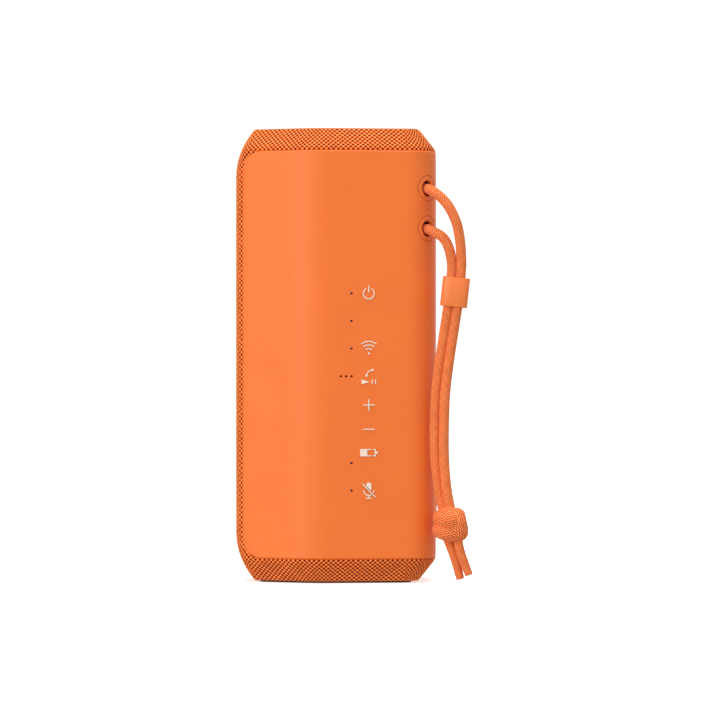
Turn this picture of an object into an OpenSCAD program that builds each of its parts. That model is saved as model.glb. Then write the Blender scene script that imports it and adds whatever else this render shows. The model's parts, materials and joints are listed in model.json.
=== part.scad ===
/* [Body] */
// Height of the speaker, standing on its foot ring
body_h = 209; // [207:1:212]
// Width from the fabric front to the fabric back
body_w = 92.9; // [92:0.1:94]
// Distance of the fabric's flat base side from the long axis
base_d = 36.5; // [36:0.1:37]
// Length of the straight bevel at each end
bevel_h = 9.4; // [9:0.1:10]
// How far the bevel draws in
bevel_in = 7.6; // [7:0.1:8]
// Length of the rounded stretch where the front meets an end
front_round_h = 22; // [20:0.5:24]
// How far the rounded stretch draws in
front_round_in = 8.5; // [8:0.1:8.8]

/* [Skins] */
// Thickness of the knitted fabric
fabric_t = 1; // [0.8:0.1:1.1]
// Thickness of the perforated frames under the fabric
frame_t = 1.8; // [1.6:0.1:1.9]
// Thickness of the control panel
panel_t = 2; // [1.8:0.1:2.1]
// How far the control panel stands above the fabric
panel_proud = 0.45; // [0.3:0.05:0.6]
// Height of the control panel
panel_h = 187; // [184:1:188]
// Wall of the sealed cabinet
cabinet_t = 2.4; // [2:0.1:2.6]

/* [Keys] */
// Distance between neighbouring keys and lights
key_pitch = 12.65; // [12.4:0.05:12.8]
// How far a key is pressed
key_travel = 0.4; // [0.3:0.05:0.45]
// How far a key's raised mark stands above the panel
mark_proud = 0.35; // [0.2:0.05:0.4]
// Gap round a key's mark
key_gap = 0.08; // [0.06:0.01:0.1]

/* [Strap] */
// Diameter of the braided strap cord
cord_d = 4.6; // [4.2:0.1:4.8]
// Bore of the two eyelets
eyelet_bore = 7; // [6.6:0.1:7.4]
// Outer diameter of the eyelets
eyelet_d = 12; // [11.5:0.1:12.4]

/* [Hidden] */
$fn = 48;

// ---- heights ----
foot_proud = 0.8;
half_h = (body_h - foot_proud) / 2;
mid_z = foot_proud + half_h;
half_w = body_w / 2;
panel_half = panel_h / 2;

// ---- cross-section: flats joined by arcs ----
crown_lean = 4;
front_crown_r = 150;
rear_crown_r = 180;
front_corner_r = 9.6;
control_rear_angle = -83;
control_front_angle = 244;
base_front_angle = 116;
function crown_d(r) = r + (half_w - r) * cos(crown_lean);
// [direction the flat faces, its distance from the axis, radius of the arc after it]
flats = [
    [control_rear_angle, 36.34, 14.35],
    [-crown_lean, crown_d(rear_crown_r), rear_crown_r],
    [crown_lean, crown_d(rear_crown_r), 16],
    [90, base_d, 30],
    [base_front_angle, 40, front_corner_r],
    [180 - crown_lean, crown_d(front_crown_r), front_crown_r],
    [180 + crown_lean, crown_d(front_crown_r), front_corner_r],
    [control_front_angle, 39.15, 33.55],
];
arc_step = 6;
function unit(a) = [cos(a), sin(a)];
// Point where two lines cross, each given by its normal's angle and its distance
function meet(a, p, b, q) =
    [p * sin(b) - q * sin(a), q * cos(a) - p * cos(b)] / sin(b - a);
function next_flat(k) =
    k == len(flats) - 1 ? [flats[0][0] + 360, flats[0][1]] : flats[k + 1];
function arc_centre(k) =
    let (f = flats[k], g = next_flat(k)) meet(f[0], f[1] - f[2], g[0], g[1] - f[2]);
// [direction, arc centre, arc radius] of each point round the section
section = [
    for (k = [0:len(flats) - 1])
        let (f = flats[k], g = next_flat(k), n = max(2, ceil((g[0] - f[0]) / arc_step)))
            for (i = [0:n]) [f[0] + (g[0] - f[0]) * i / n, arc_centre(k), f[2]]
];
function ring(inset) = [for (s = section) s[1] + (s[2] - inset) * unit(s[0])];

// ---- the ends: a straight bevel, and a longer rounded draw-in at the front ----
front_round_r = (pow(front_round_h, 2) + pow(front_round_in, 2)) / 2 / front_round_in;
function front_share(a) =
    let (t = min(1, max(0, (62 - abs(a - 180)) / 52))) t * t * (3 - 2 * t);
function bevel_at(z) = max(0, abs(z) - half_h + bevel_h) / bevel_h * bevel_in;
function round_at(z) =
    let (h = max(0, abs(z) - half_h + front_round_h))
        front_round_r - sqrt(pow(front_round_r, 2) - h * h);
function draw_in(a, z) = bevel_at(z) + (round_at(z) - bevel_at(z)) * front_share(a);
end_steps = [
    for (i = [0:3]) half_h - front_round_h + (front_round_h - bevel_h) * i / 3,
    for (i = [1:3]) half_h - bevel_h + bevel_h * i / 3
];

// Closed solid of the body, drawn in by inset, between two heights from the middle
module body_solid(inset, low, high) {
    inner = [
        for (i = [len(end_steps) - 1:-1:0]) -end_steps[i],
        for (z = end_steps) z
    ];
    levels = [low, for (z = inner) if (z > low + 0.2 && z < high - 0.2) z, high];
    n = len(section);
    m = len(levels);
    points = [
        for (z = levels) for (s = section)
            let (p = s[1] + (s[2] - inset - draw_in(s[0], z)) * unit(s[0]))
                [p.x, p.y, z + mid_z]
    ];
    faces = [
        [for (i = [0:n - 1]) i],
        [for (i = [n - 1:-1:0]) (m - 1) * n + i],
        for (j = [0:m - 2]) for (i = [0:n - 1])
            let (a = j * n + i, b = j * n + (i + 1) % n)
                each [[a, a + n, b], [b, a + n, b + n]]
    ];
    polyhedron(points, faces, convexity = 6);
}

module section_slab(inset, low, high)
    translate([0, 0, mid_z + low]) linear_extrude(high - low) polygon(ring(inset));

module section_shell(outer, inner, low, high)
    translate([0, 0, mid_z + low])
        linear_extrude(high - low)
            difference() {
                polygon(ring(outer));
                polygon(ring(inner));
            }

// ---- places on the sides ----
// Draws children with +Z pointing out of a flat that faces the given angle
module on_flat(angle, distance, along, z)
    rotate([0, 0, angle]) translate([distance, along, mid_z + z]) rotate([90, 0, 90]) children();

control_d = flats[0][1] + panel_proud;
key_along = 10.75;
light_along = key_along - 7.95;
// Draws children on the control panel's rear flat, +Z out of the panel's face
module on_controls(along, z) on_flat(control_rear_angle, control_d, along, z) children();

// ---- 2D helpers ----
module rounded_square(w, h, r)
    union() {
        square([w - 2 * r, h], center = true);
        square([w, h - 2 * r], center = true);
        for (x = [-1, 1], y = [-1, 1])
            translate([x * (w / 2 - r), y * (h / 2 - r)]) circle(r);
    }

module race(r, s)
    union() {
        square([2 * r, s], center = true);
        for (y = [-1, 1]) translate([0, y * s / 2]) circle(r);
    }

// Sweeps a [radius, height] outline round a racetrack whose straight stretch is s
module race_ring(s) {
    for (side = [0, 180])
        rotate([0, 0, side]) {
            translate([0, s / 2, 0]) rotate_extrude(angle = 180) children();
            translate([0, s / 2, 0]) rotate([90, 0, 0]) linear_extrude(s) children();
        }
}

// ---- the control panel and its window ----
panel_front_x = -42.9;
panel_rear_y = -14;
panel_corner = 8.5;
panel_rear_corner = 5;
// The space that the control panel takes, grown by g
module panel_window(g) {
    intersection() {
        translate([0, panel_rear_y + g, mid_z]) rotate([90, 0, 0])
            linear_extrude(40 + g)
                union() {
                    translate([panel_front_x - g + panel_corner, -panel_half - g])
                        square([110, 2 * (panel_half + g)]);
                    translate([panel_front_x - g, -panel_half - g + panel_corner])
                        square([110, 2 * (panel_half + g - panel_corner)]);
                    for (v = [-1, 1])
                        translate([panel_front_x - g + panel_corner,
                                   v * (panel_half + g - panel_corner)])
                            circle(panel_corner);
                }
        translate([-60, 0, mid_z]) rotate([90, 0, 90])
            linear_extrude(120)
                translate([panel_rear_y + g - 40, 0])
                    rounded_square(80, 2 * (panel_half + g), panel_rear_corner);
    }
}

seat_margin = 4;
// The space cut from a frame: a rebate behind the panel's rim and a window behind its middle
module panel_seat() {
    difference() {
        panel_window(window_gap);
        section_slab(panel_t - panel_proud + 0.05, -half_h, half_h);
    }
    panel_window(-seat_margin);
}

// ---- keys ----
mark_w = 0.5;
POWER = 0;
WIRELESS = 1;
PLAY = 2;
PLUS = 3;
MINUS = 4;
BATTERY = 5;
MUTE = 6;
// Height of each key above the middle
key_z = [28, 2.8, -10.5, -23, -34.1, -44.8, -62.1];

// A bar between two points, w wide, with round ends
module stroke(p, q, w = mark_w) {
    d = q - p;
    translate(p) rotate(atan2(d.y, d.x)) translate([0, -w / 2]) square([norm(d), w]);
    for (e = [p, q]) translate(e) circle(w / 2, $fn = 24);
}

// A band of an annulus from angle a to angle b
module arc_stroke(r, a, b, w = mark_w) {
    n = ceil((b - a) / 12);
    polygon([
        for (i = [0:n]) (r + w / 2) * unit(a + (b - a) * i / n),
        for (i = [n:-1:0]) (r - w / 2) * unit(a + (b - a) * i / n)
    ]);
}

module mark(k, g = 0) {
    w = mark_w + 2 * g;
    if (k == POWER) {
        arc_stroke(2.5, 118, 422, w);
        translate([-w / 2, 0.5 - g]) square([w, 3.2 + 2 * g]);
    }
    if (k == WIRELESS) {
        translate([0, -2.2]) circle(0.5 + g);
        for (r = [2.2, 3.9, 5.5]) translate([0, -2.2]) arc_stroke(r, 50, 130, w);
    }
    if (k == PLAY) {
        translate([-2.3, -1.9]) polygon([
            [-1.1 - g, 1.15 + 2 * g], [-1.1 - g, -1.15 - 2 * g], [2.6 + 3 * g, 0]
        ]);
        for (x = [1.6, 3.1]) stroke([x, -2.7], [x, -1.1], w);
        translate([2.2, 0.2]) arc_stroke(3.4, 100, 165, w);
        for (a = [98, 167]) translate([2.2, 0.2] + 3.4 * unit(a)) circle(0.55 + g);
    }
    if (k == PLUS) stroke([0, -2.45], [0, 2.45], w);
    if (k == PLUS || k == MINUS) stroke([-2.45, 0], [2.45, 0], w);
    if (k == BATTERY) {
        difference() {
            translate([-0.4, 0]) square([7.2 + 2 * g, 3.4 + 2 * g], center = true);
            translate([-0.4, 0])
                square([7.2 - 2 * mark_w - 2 * g, 3.4 - 2 * mark_w - 2 * g], center = true);
            translate([1.4, 0]) square([0.7 - 2 * g, 5], center = true);
        }
        translate([3.2 - g, -0.6 - g]) square([0.9 + 2 * g, 1.2 + 2 * g]);
        translate([-2.2, 0]) square([3 + 2 * g, 2.8 + 2 * g], center = true);
    }
    if (k == MUTE) {
        difference() {
            union() {
                stroke([0, 0.9], [0, 2.5], 2.4 + 2 * g);
                arc_stroke(2.3, 180, 360, w);
                stroke([0, -2.3], [0, -3.5], w);
                stroke([-1.2, -3.5], [1.2, -3.5], w);
            }
            if (g == 0) stroke([-3.4, 3.4], [3.4, -3.4], mark_w * 2.4);
        }
        stroke([-2.9, 2.9], [2.9, -2.9], w);
    }
}

key_flange_t = 1;
key_slack = 0.05;
module button(k)
    on_controls(key_along, key_z[k]) {
        translate([0, 0, -panel_t - key_slack - 0.01])
            linear_extrude(panel_t + key_slack + 0.01 + mark_proud) mark(k);
        translate([0, 0, -panel_t - key_slack - key_flange_t])
            linear_extrude(key_flange_t) rounded_square(9.6, 8.6, 1.5);
    }

// ---- lights and microphone, beside the keys ----
light_z = [28.1, 15.45, 2.8, -49.5, -62.1];
row_z = -9.85;
row_step = 2.45;
light_r = 0.54;
module light_pipes(r, length)
    for (z = light_z)
        on_controls(light_along, z) translate([0, 0, -length]) cylinder(r = r, h = length);
module row_pipes(r, length)
    for (i = [0, 1])
        on_controls(light_along - i * row_step, row_z)
            translate([0, 0, -length]) cylinder(r = r, h = length);
module mic_place() on_controls(light_along - 2 * row_step, row_z) children();

// ---- eyelets ----
eyelet_angle = -40;
eyelet_z = [76.4, 57.9];
rear_corner = arc_centre(0);
corner_r = flats[0][2] + panel_proud;
eyelet_depth = 3.1;
// Draws children at an eyelet, +Z out of the corner along the eyelet's axis
module at_eyelet(i)
    translate([rear_corner.x, rear_corner.y, mid_z + eyelet_z[i]])
        rotate([0, 0, eyelet_angle]) translate([corner_r, 0, 0]) rotate([90, 0, 90]) children();

module eyelet(i) color("chocolate")
    difference() {
        intersection() {
            at_eyelet(i)
                translate([0, 0, -eyelet_depth - 2]) cylinder(d = eyelet_d - 0.1, h = eyelet_depth + 3);
            translate([rear_corner.x, rear_corner.y, 0])
                difference() {
                    cylinder(r = corner_r, h = body_h, $fn = 96);
                    cylinder(r = corner_r - eyelet_depth, h = body_h, $fn = 96);
                }
        }
        at_eyelet(i) translate([0, 0, -8]) cylinder(d = eyelet_bore, h = 12);
        at_eyelet(i) translate([0, 0, -1.5]) cylinder(d1 = eyelet_bore, d2 = eyelet_bore + 5, h = 2.2);
    }

module control_panel() color("coral")
    difference() {
        intersection() {
            section_shell(-panel_proud, panel_t - panel_proud, -panel_half, panel_half);
            panel_window(0);
        }
        for (k = [0:len(key_z) - 1])
            on_controls(key_along, key_z[k])
                translate([0, 0, -panel_t - 1]) linear_extrude(panel_t + 2) mark(k, key_gap);
        light_pipes(light_r, panel_t + 1);
        row_pipes(light_r, panel_t + 1);
        mic_place() translate([0, 0, -panel_t - 1]) cylinder(r = light_r, h = panel_t + 2);
        for (i = [0, 1]) at_eyelet(i) translate([0, 0, -8]) cylinder(d = eyelet_d, h = 12);
    }

module indicator_light_pipes() color("midnightblue") {
    light_pipes(light_r - 0.02, panel_t + 0.8);
    row_pipes(light_r - 0.02, panel_t + 0.8);
}

module mic_gasket() color("dimgray")
    mic_place() translate([0, 0, -panel_t - 1])
        difference() {
            cylinder(r = 1.1, h = 0.95);
            translate([0, 0, -1]) cylinder(r = light_r, h = 3);
        }

key_board_top = panel_t + key_slack + key_flange_t + 1.45;
key_board_t = 1;
key_board_low = -68;
key_board_high = 34;
module key_board() color("darkgreen")
    on_controls(key_along - 3.3, 0)
        translate([0, 0, -key_board_top - key_board_t])
            linear_extrude(key_board_t)
                translate([0, (key_board_low + key_board_high) / 2])
                    rounded_square(18.4, key_board_high - key_board_low, 1.5);

module key_switches() color("silver") {
    for (z = key_z) on_controls(key_along, z) translate([0, 0, -key_board_top]) {
        translate([0, 0, 0.4]) cube([4.2, 3.2, 0.8], center = true);
        cylinder(r = 0.9, h = 1.45 - key_travel - 0.05);
    }
    for (z = light_z) on_controls(light_along, z) translate([0, 0, -key_board_top + 0.3])
        cube([1.6, 0.8, 0.6], center = true);
}

// ---- strap ----
// Route of each cord: points from the eyelet to the knot, z above the middle
upper_route = [
    [39.9, -25.6, 76.5], [43.1, -28.4, 75.8], [45.9, -30.8, 74], [48.9, -32.7, 71.4],
    [51.5, -33.8, 68.2], [53.6, -34.3, 64.4], [55.4, -34.2, 60], [56.5, -33.6, 55.2],
    [57.2, -32.9, 49.8], [57.5, -32.2, 44.4], [57.5, -31.9, 39.4], [56.4, -31.9, 26.6],
    [54.5, -31.9, 13.8], [52.5, -32, 1], [51.1, -32.3, -9], [50.1, -32.4, -18],
    [49.7, -32.4, -28], [49.5, -32.4, -39], [49.7, -32.5, -49], [50.3, -32.6, -57],
    [51.2, -32.6, -64], [52.6, -32.5, -71]
];
lower_route = [
    [39.9, -25.6, 58], [43.1, -28.3, 57.3], [45.8, -30.2, 55.9], [48.2, -31.4, 54.5],
    [50.2, -31.9, 52.3], [51.7, -32, 49.2], [52.8, -31.7, 45], [53.3, -31.3, 39.4],
    [52.2, -31.3, 26.6], [50.3, -31.3, 13.8], [48.4, -31.1, 1], [46.9, -30.8, -9],
    [46, -30.6, -18], [45.5, -30.6, -28], [45.4, -30.6, -39], [45.8, -30.4, -49],
    [46.7, -30.1, -57], [47.7, -30.1, -64], [49.2, -30.8, -71]
];
// [depth below the panel's face, height] of the run behind the eyelets
inner_route = [
    for (p = [[3.95, 76.5], [6.3, 76.6], [8.3, 75.8], [9.6, 73.8], [10, 70.6], [10, 67.2],
              [10, 63.9], [9.6, 60.7], [8.3, 58.8], [6.3, 58.1], [3.95, 58]])
        [rear_corner.x + (corner_r - p[0]) * cos(eyelet_angle),
         rear_corner.y + (corner_r - p[0]) * sin(eyelet_angle), p[1]]
];
knot_centre = [52.7, -32.4, -77.7];
knot_size = [17, 15.6, 16.2];
tail_left = [[51, -30.9, -84], [54.3, -30.9, -92.5], [57.2, -31.1, -102.9]];
tail_right = [[55.6, -33.4, -83], [57.2, -33.5, -90.5], [61.1, -33.5, -100.9]];

cord_sides = 8;
// Smooth curve through a list of points, k steps between neighbours
function spline(p, k) = [
    for (i = [0:len(p) - 2])
        let (a = p[max(0, i - 1)], b = p[i], c = p[i + 1], d = p[min(len(p) - 1, i + 2)])
            for (j = [0:k - 1])
                let (t = j / k)
                    0.5 * (2 * b + (c - a) * t + (2 * a - 5 * b + 4 * c - d) * t * t
                           + (3 * b - a - 3 * c + d) * t * t * t),
    p[len(p) - 1]
];
function heading(p, i) =
    let (v = p[min(len(p) - 1, i + 1)] - p[max(0, i - 1)]) v / norm(v);

// Round tube of diameter d along a route, closed at both ends
module tube(route, d, k = 1) {
    p = spline(route, k);
    side = [0.4, 1, 0] / norm([0.4, 1, 0]);
    points = [
        for (i = [0:len(p) - 1])
            let (t = heading(p, i), u = cross(side, t) / norm(cross(side, t)), v = cross(t, u))
                for (s = [0:cord_sides - 1])
                    let (a = 360 * s / cord_sides)
                        p[i] + d / 2 * (cos(a) * u + sin(a) * v) + [0, 0, mid_z]
    ];
    n = cord_sides;
    m = len(p);
    polyhedron(points, [
        [for (s = [n - 1:-1:0]) s],
        [for (s = [0:n - 1]) (m - 1) * n + s],
        for (j = [0:m - 2]) for (s = [0:n - 1])
            let (a = j * n + s, b = j * n + (s + 1) % n)
                each [[a, b, a + n], [b, b + n, a + n]]
    ], convexity = 10);
}

keeper_lean = 6.2;
keeper_at = [54.8, -31.6, 28.7];
keeper_half = 6.8;
keeper_w = 12.8;
keeper_d = 7.8;
keeper_wall = 1.15;
module strap_keeper() color("coral")
    translate(keeper_at + [0, 0, mid_z]) rotate([0, keeper_lean, 0])
        translate([0, 0, -keeper_half])
            linear_extrude(2 * keeper_half)
                difference() {
                    rounded_square(keeper_w, keeper_d, 3.2);
                    rounded_square(keeper_w - 2 * keeper_wall, keeper_d - 2 * keeper_wall, 2.3);
                }

module strap_knot() color("chocolate")
    translate(knot_centre + [0, 0, mid_z]) resize(knot_size) sphere(8, $fn = 24);

module strap_tails() color("chocolate") {
    tube(tail_left, cord_d - 0.5, 2);
    tube(tail_right, cord_d - 0.5, 2);
}

// A small box of bars that guides the cord behind the two eyelets
anchor_low = 50.5;
anchor_high = 81.2;
module at_corner(depth, z)
    translate([rear_corner.x, rear_corner.y, mid_z + z])
        rotate([0, 0, eyelet_angle]) translate([corner_r - depth, 0, 0]) children();
module strap_anchor() color("dimgray") {
    difference() {
        at_corner(16.4, anchor_low)
            translate([0, -5.4, 0]) cube([11.2, 10.8, anchor_high - anchor_low]);
        at_corner(13.6, anchor_low + 2)
            translate([0, -3.9, 0]) cube([20, 7.8, anchor_high - anchor_low - 3]);
    }
    at_corner(7.4, 63.4) translate([0, -4.5, 0]) cube([2, 9, 7.6]);
}

// ---- fabric and the frames under it ----
window_gap = 0.25;
frame_in = fabric_t + 0.05;
frame_deep = frame_in + frame_t - 0.05;
sleeve_half = half_h - front_round_h;
port_z = -60;
port_w = 15;
port_h = 30;
module port_hole(g)
    translate([30, 0, mid_z + port_z]) rotate([90, 0, 90])
        linear_extrude(30) rounded_square(port_w + 2 * g, port_h + 2 * g, 4 + g);

module fabric_cover() color("darkorange")
    difference() {
        body_solid(0, -half_h, half_h);
        body_solid(fabric_t, -half_h + fabric_t, half_h - fabric_t);
        panel_window(window_gap);
        port_hole(0.1);
        foot_outline(0.1, -1, foot_proud + foot_sunk);
        side_foot_outlines(0.1);
    }

driver_z = [46, -46];
grille_slot = 4.4;
grille_pitch = 6.6;
module sleeve_frame() color("saddlebrown")
    difference() {
        section_shell(frame_in, frame_deep, -sleeve_half + 0.1, sleeve_half - 0.1);
        panel_seat();
        port_hole(0.1);
        for (d = driver_z, i = [-3:3])
            translate([-half_w - 1, driver_y - 15, mid_z + d + i * grille_pitch - grille_slot / 2])
                cube([6, 30, grille_slot]);
        side_foot_outlines(0.1);
    }

// Cup that carries the fabric round one end; up is 1 for the top and -1 for the bottom
module end_frame(up) {
    low = sleeve_half;
    high = half_h - frame_in;
    difference() {
        if (up > 0) body_solid(frame_in, low, high);
        else body_solid(frame_in, -high, -low);
        if (up > 0) body_solid(frame_deep, low - 1, half_h - frame_deep);
        else body_solid(frame_deep, frame_deep - half_h, 1 - low);
        panel_seat();
        for (i = [-3:3])
            translate([radiator_x + i * 8 - 2.6, -17, mid_z + up * half_h - 5]) cube([5.2, 34, 10]);
    }
}

// ---- feet ----
foot_sunk = 0.5;
module foot_outline(g, low, high)
    translate([0, 0, low])
        linear_extrude(high - low)
            difference() {
                offset(delta = g) scale(0.93) polygon(ring(8.5));
                offset(delta = -g) scale(0.83) polygon(ring(8.5));
            }
module foot_ring() color("dimgray")
    linear_extrude(foot_proud + foot_sunk)
        difference() {
            scale(0.93) polygon(ring(8.5));
            scale(0.83) polygon(ring(8.5));
        }

side_foot_x = [-17, 27];
side_foot_top = 37.5;
side_foot_half = 60;
module side_foot_outlines(g)
    for (x = side_foot_x)
        translate([x, side_foot_top, mid_z]) rotate([90, 0, 0])
            linear_extrude(5.2) race(3.5 + g, 2 * side_foot_half);
module side_feet() color("dimgray")
    difference() {
        side_foot_outlines(0);
        section_slab(frame_deep, -half_h, half_h);
    }

// ---- port on the back ----
cap_t = 2;
bezel_face = half_w;
bezel_t = 6;
cap_w = 10.6;
cap_h = 23.4;
cap_drop = 1.2;
cap_gap = 0.3;
seat_x = bezel_face - cap_t - 0.1;
hinge_z = 12.2;
hinge_r = 0.5;
socket_l = 6.9;
port_board_t = 1.6;
// Draws children on the back, +Z outwards, +Y up, at the port's centre
module at_port(x) translate([x, 0, mid_z + port_z]) rotate([90, 0, 90]) children();
module port_bezel() color("coral")
    difference() {
        at_port(bezel_face - bezel_t) linear_extrude(bezel_t) rounded_square(port_w, port_h, 4);
        at_port(seat_x) translate([0, -cap_drop, 0])
            linear_extrude(5) rounded_square(cap_w + 2 * cap_gap, cap_h + 4 * cap_gap, 3.3);
        at_port(seat_x) translate([0, hinge_z - 0.8, 0])
            linear_extrude(5) square([6.6, 4.4], center = true);
        at_port(bezel_face - 2 * bezel_t) translate([0, -cap_drop, 0])
            linear_extrude(3 * bezel_t) rounded_square(3.5, 9.3, 1.6);
    }

module port_cap() color("coral")
    difference() {
        union() {
            at_port(bezel_face - cap_t) translate([0, -cap_drop, 0])
                linear_extrude(cap_t - 0.3) rounded_square(cap_w, cap_h, 3);
            at_port(bezel_face - cap_t + 0.4) translate([-3, hinge_z - 2.2, 0]) cube([6, 2.2, 0.8]);
            at_port(bezel_face - cap_t + 0.8) translate([-3, hinge_z, 0])
                rotate([0, 90, 0]) cylinder(r = hinge_r, h = 6);
        }
        at_port(bezel_face) translate([0, -cap_drop - cap_h / 2 + 2, 0])
            rotate([0, 90, 0]) cylinder(r = 1.1, h = 7, center = true);
    }

module usb_socket() color("silver")
    at_port(seat_x - 0.1 - socket_l) translate([0, -cap_drop, 0]) {
        difference() {
            linear_extrude(socket_l) rounded_square(3.2, 9, 1.5);
            translate([0, 0, 0.6]) linear_extrude(socket_l) rounded_square(2.5, 8.3, 1.2);
        }
        linear_extrude(socket_l - 0.7) square([0.7, 6.6], center = true);
    }

port_board_x = seat_x - 0.15 - socket_l - port_board_t;
module port_board() color("darkgreen")
    at_port(port_board_x) translate([0, -cap_drop, 0])
        linear_extrude(port_board_t) rounded_square(12, 26, 1);

// ---- sealed cabinet ----
cabinet_in = frame_deep + 0.05;
cabinet_half = 84;
baffle_x = -36.5;
split_x = -29.5;
gasket_t = 0.6;
driver_y = 0.5;
driver_s = 7;
radiator_x = 3;
radiator_s = 16;
radiator_open = 21;

module cabinet_solid(inset, half, front)
    intersection() {
        section_slab(inset, -half, half);
        translate([front, -50, 0]) cube([100, 100, body_h]);
    }

module at_radiators(up)
    translate([radiator_x, 0, mid_z + up * cabinet_half])
        rotate([up > 0 ? 0 : 180, 0, 90]) children();

module at_driver(i)
    translate([baffle_x, driver_y, mid_z + driver_z[i]]) rotate([90, 0, -90]) children();

driver_screw_at = [for (x = [-1, 1], y = [-1, 1]) [x * 15.8, y * 19.2]];
module baffle_holes() {
    for (i = [0, 1]) at_driver(i) {
        translate([0, 0, -5]) linear_extrude(10) race(19.6, driver_s);
        for (p = driver_screw_at) translate([p.x, p.y, -5]) cylinder(r = 0.95, h = 10);
    }
}

cabinet_screw_z = [-70, -14, 14, 70];
module at_cabinet_screws()
    for (z = cabinet_screw_z, y = [-16.5, 20])
        translate([baffle_x, y, mid_z + z]) rotate([0, 90, 0]) children();

module cabinet_walls() {
    difference() {
        union() {
            difference() {
                cabinet_solid(cabinet_in, cabinet_half, baffle_x);
                cabinet_solid(cabinet_in + cabinet_t, cabinet_half - cabinet_t, baffle_x + cabinet_t);
            }
            intersection() {
                cabinet_solid(cabinet_in, cabinet_half, baffle_x);
                union() {
                    key_pocket(cabinet_t - 0.4);
                    strap_pocket(cabinet_t - 0.4);
                    for (z = cabinet_screw_z, side = [-1, 1])
                        translate([baffle_x, side > 0 ? 17 : -43.5, mid_z + z - 3]) cube([16, 30, 6]);
                    port_pocket(2);
                    for (x = [0, 20], z = [-33, 25])
                        translate([x, -33, mid_z + z]) cube([3, 33 + holder_y, 8]);
                    at_board_corners() translate([0, 0, 1.6]) cylinder(r = 2.8, h = 12);
                }
            }
        }
        at_board_corners() cylinder(r = 0.95, h = 6.6);
        key_pocket(0);
        strap_pocket(0);
        port_pocket(0);
        baffle_holes();
        at_cabinet_screws() translate([0, 0, -1]) cylinder(r = 1.3, h = 14);
        for (up = [-1, 1]) at_radiators(up) translate([0, 0, -5]) {
            linear_extrude(10) race(radiator_open, radiator_s);
            for (p = radiator_screw_at) translate([p.x, p.y, 0]) cylinder(r = 0.95, h = 10);
        }
    }
}
module key_pocket(g)
    on_controls(key_along - 3.3, (key_board_low + key_board_high) / 2)
        translate([0, 0, -key_board_top - key_board_t - 0.1 - g])
            linear_extrude(key_board_top + 20)
                rounded_square(19.2 + 2 * g, key_board_high - key_board_low + 1 + 2 * g, 1.8 + g);
module strap_pocket(g)
    at_corner(16.6 + g, anchor_low - 0.2 - g)
        translate([0, -5.6 - g, 0]) cube([40, 11.2 + 2 * g, anchor_high - anchor_low + 0.4 + 2 * g]);
module port_pocket(g)
    translate([port_board_x - 0.4 - g, -port_w / 2 - 0.2 - g, mid_z + port_z - port_h / 2 - 0.2 - g])
        cube([60, port_w + 0.4 + 2 * g, port_h + 0.4 + 2 * g]);

module front_baffle() color("#303234")
    intersection() {
        cabinet_walls();
        translate([-60, -60, 0]) cube([60 + split_x, 120, body_h]);
    }
module rear_cabinet() color("#303234")
    intersection() {
        cabinet_walls();
        translate([split_x + gasket_t, -60, 0]) cube([120, 120, body_h]);
    }
module cabinet_gasket() color("dimgray")
    intersection() {
        difference() {
            cabinet_solid(cabinet_in + 0.3, cabinet_half - 0.3, baffle_x);
            cabinet_solid(cabinet_in + cabinet_t - 0.3, cabinet_half - cabinet_t + 0.3, baffle_x);
        }
        translate([split_x, -60, 0]) cube([gasket_t, 120, body_h]);
    }
module cabinet_screws() color("silver")
    at_cabinet_screws() translate([0, 0, -1.4]) {
        cylinder(r = 2.2, h = 1.35);
        cylinder(r = 1.2, h = 13.5);
    }

// ---- drivers: children's +Z points out of the front ----
driver_frame_t = 1.5;
basket_depth = 10;
module driver_frame() color("#404246")
    difference() {
        union() {
            linear_extrude(driver_frame_t) race(21.4, driver_s);
            translate([0, 0, -basket_depth]) linear_extrude(basket_depth + 0.1) race(19.3, driver_s);
        }
        translate([0, 0, 1 - basket_depth]) linear_extrude(20) race(18.3, driver_s);
        translate([0, 0, -20]) cylinder(r = 12, h = 20);
        for (a = [0:90:270]) rotate([0, 0, a]) translate([0, -7, -7.4]) cube([40, 14, 5]);
        for (p = driver_screw_at) translate([p.x, p.y, -5]) cylinder(r = 0.95, h = 10);
    }

module driver_motor() color("silver") {
    translate([0, 0, -basket_depth - 9.5]) difference() {
        cylinder(r = 12.9, h = 9.5);
        translate([0, 0, 1.5]) cylinder(r = 10.3, h = 9.5);
    }
    translate([0, 0, -basket_depth - 8]) cylinder(r = 7.8, h = 5.6);
    translate([0, 0, -basket_depth - 2.4]) cylinder(r = 8.2, h = 1.8);
}

module driver_cone() color("#2b2c2e") {
    race_ring(driver_s)
        polygon([[14.8, 1.5], [13.2, 1.5], [9, -1.9], [9, -2.5], [13, 0.8], [14.8, 0.8]]);
    translate([0, 0, -2.5]) linear_extrude(0.6) race(9.05, driver_s);
    translate([0, 0, -14]) difference() {
        cylinder(r = 9.3, h = 12);
        translate([0, 0, -1]) cylinder(r = 8.7, h = 12.5);
    }
}

module driver_surround() color("#1f2022")
    race_ring(driver_s)
        polygon([
            [20.2, 1.55], [18.6, 1.55],
            for (a = [0:20:180]) [16.7 + 1.5 * cos(a), 1.55 + 1.5 * sin(a)],
            [13.3, 1.55], [13.3, 1.95],
            for (a = [180:-20:0]) [16.7 + 1.9 * cos(a), 1.95 + 1.9 * sin(a)],
            [20.2, 1.95]
        ]);

module driver_spider() color("goldenrod")
    translate([0, 0, 1 - basket_depth])
        rotate_extrude()
            polygon([
                [15.5, 0.05],
                for (i = [24:-1:0]) [9.4 + i * 0.2, 0.4 - 0.35 * cos(i * 45)],
                for (i = [0:24]) [9.4 + i * 0.2, 0.8 - 0.35 * cos(i * 45)],
                [15.5, 0.45]
            ]);

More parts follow.
